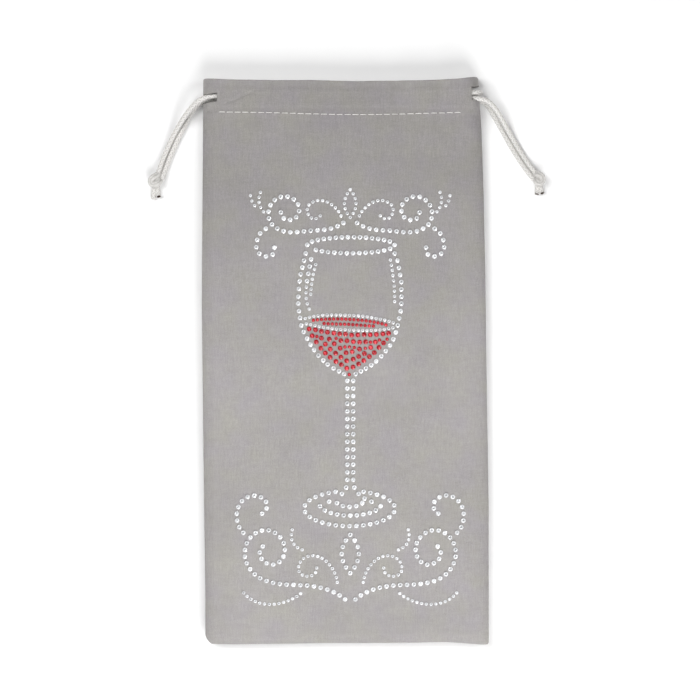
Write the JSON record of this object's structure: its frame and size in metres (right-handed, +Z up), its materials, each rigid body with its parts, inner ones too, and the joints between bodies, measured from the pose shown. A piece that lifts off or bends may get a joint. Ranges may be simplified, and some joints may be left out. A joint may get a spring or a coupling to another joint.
{
  "type": "wine gift bag",
  "caption": "Flat velvet-like drawstring bag for one bottle, with a rhinestone wine glass between scrolls and two knotted cords.",
  "frame": {"origin": "on the floor under the middle of the bag as it lies flat on its back", "axes": "+X across the bag towards the folded edge, +Y along the bag from the bottom seam to the mouth, +Z up out of the decorated front"},
  "size_m": [0.2338, 0.33, 0.0155],
  "materials": {
    "cloth": "short-napped taupe grey microsuede",
    "thread": "pale grey spun sewing thread",
    "cord": "satin braided silver-white cord",
    "clear_stone": "faceted foil-backed crystal",
    "red_stone": "faceted foil-backed red crystal"
  },
  "bodies": {
    "root": {"front_panel": "cloth", "back_panel": "cloth", "front_casing_hem": "cloth", "back_casing_hem": "cloth", "left_seam_allowance": "cloth", "bottom_seam_allowance": "cloth", "front_casing_stitches": "thread", "back_casing_stitches": "thread", "left_seam_stitches": "thread", "bottom_seam_stitches": "thread", "rim_stones": "clear_stone", "bowl_stones": "clear_stone", "highlight_stones": "clear_stone", "stem_stones": "clear_stone", "foot_stones": "clear_stone", "wine_surface_stones": "clear_stone", "upper_scroll_stones": "clear_stone", "lower_scroll_stones": "clear_stone", "wine_top_red_stones": "red_stone", "wine_red_stones": "red_stone", "wine_filler_red_stones": "red_stone"},
    "left_drawcord": {"left_cord_casing_loop": "cord", "left_cord_front_strand": "cord", "left_cord_back_strand": "cord", "left_cord_knot": "cord", "left_cord_tails": "cord"},
    "right_drawcord": {"right_cord_casing_loop": "cord", "right_cord_front_strand": "cord", "right_cord_back_strand": "cord", "right_cord_knot": "cord", "right_cord_tails": "cord"}
  },
  "joints": [
    {"name": "left_cord_pull", "type": "slide", "parent": "root", "child": "left_drawcord", "axis": [-0.9998, -0.0206, 0], "range_m": [0, 0.045], "deforming": ["front_panel", "back_panel", "front_casing_hem", "back_casing_hem", "front_casing_stitches", "back_casing_stitches", "left_seam_allowance", "left_seam_stitches"]},
    {"name": "right_cord_pull", "type": "slide", "parent": "root", "child": "right_drawcord", "axis": [0.9997, 0.0244, 0], "range_m": [0, 0.045], "deforming": ["front_panel", "back_panel", "front_casing_hem", "back_casing_hem", "front_casing_stitches", "back_casing_stitches", "left_seam_allowance", "left_seam_stitches"]}
  ]
}
